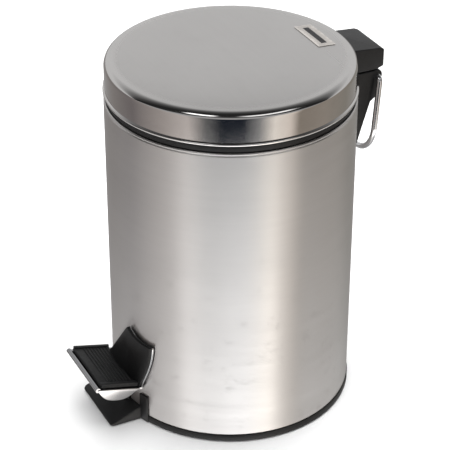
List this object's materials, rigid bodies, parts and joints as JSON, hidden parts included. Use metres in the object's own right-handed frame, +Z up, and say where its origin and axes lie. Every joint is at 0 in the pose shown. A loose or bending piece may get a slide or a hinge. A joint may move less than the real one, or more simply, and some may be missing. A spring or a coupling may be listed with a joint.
{
  "type": "pedal bin",
  "caption": "Round steel pedal bin with a hinged lid, foot pedal, push rod, liner bucket, rear hinge housing and hanging wire carry bail.",
  "frame": {"origin": "centre of the base hub on the floor, on the drum's axis", "axes": "+Z up along the drum's axis, -Y towards the pedal, +Y towards the hinge"},
  "size_m": [0.1712, 0.2237, 0.257],
  "materials": {
    "drum_steel": "satin",
    "lid_steel": "satin",
    "bright_steel": "polished",
    "mech_steel": "plain",
    "black_plastic": "fine grain",
    "bucket_plastic": "fine grain",
    "tread_plastic": "ribbed",
    "rubber": "matte",
    "badge": "satin"
  },
  "bodies": {
    "bin": {"outer_body": "drum_steel", "base": "black_plastic", "rubber_feet": "rubber", "pivot_bracket": "mech_steel", "pivot_screws": "mech_steel", "pedal_axle": "mech_steel", "axle_clips": "mech_steel", "rod_guide": "black_plastic", "inner_bucket": "bucket_plastic", "bucket_bail": "bright_steel", "hinge_pin": "mech_steel", "hinge_bracket": "black_plastic", "bracket_screws": "mech_steel"},
    "lid": {"lid_shell": "lid_steel", "lid_crank": "mech_steel", "lid_bumpers": "rubber", "lid_label": "badge", "hinge_cap": "black_plastic", "cap_rivets": "mech_steel"},
    "pedal": {"pedal_lever": "mech_steel", "pedal_tray": "bright_steel", "tray_rivets": "mech_steel", "tread_pad": "tread_plastic", "pedal_guard": "tread_plastic"},
    "rod": {"push_rod": "mech_steel", "rod_collar": "mech_steel"},
    "carry_bail": {"carry_bail": "bright_steel"}
  },
  "joints": [
    {"name": "lid_hinge", "type": "hinge", "parent": "bin", "child": "lid", "pos_m": [0, 0.102, 0.2395], "axis": [-1, 0, 0], "range_deg": [0, 75]},
    {"name": "pedal_pivot", "type": "hinge", "parent": "bin", "child": "pedal", "pos_m": [0, -0.02, 0.0164], "axis": [1, 0, 0], "range_deg": [0, 11.02]},
    {"name": "rod_slide", "type": "slide", "parent": "bin", "child": "rod", "axis": [0, 0, 1], "range_m": [0, 0.0188]},
    {"name": "carry_bail_swing", "type": "hinge", "parent": "bin", "child": "carry_bail", "pos_m": [0, 0.1025, 0.22561], "axis": [1, 0, 0], "range_deg": [-2, 154]}
  ],
  "couplings": [
    {"joint": "pedal_pivot", "follows": "lid_hinge", "ratio": 0.14689},
    {"joint": "rod_slide", "follows": "lid_hinge", "m_per_rad": 0.014362}
  ]
}
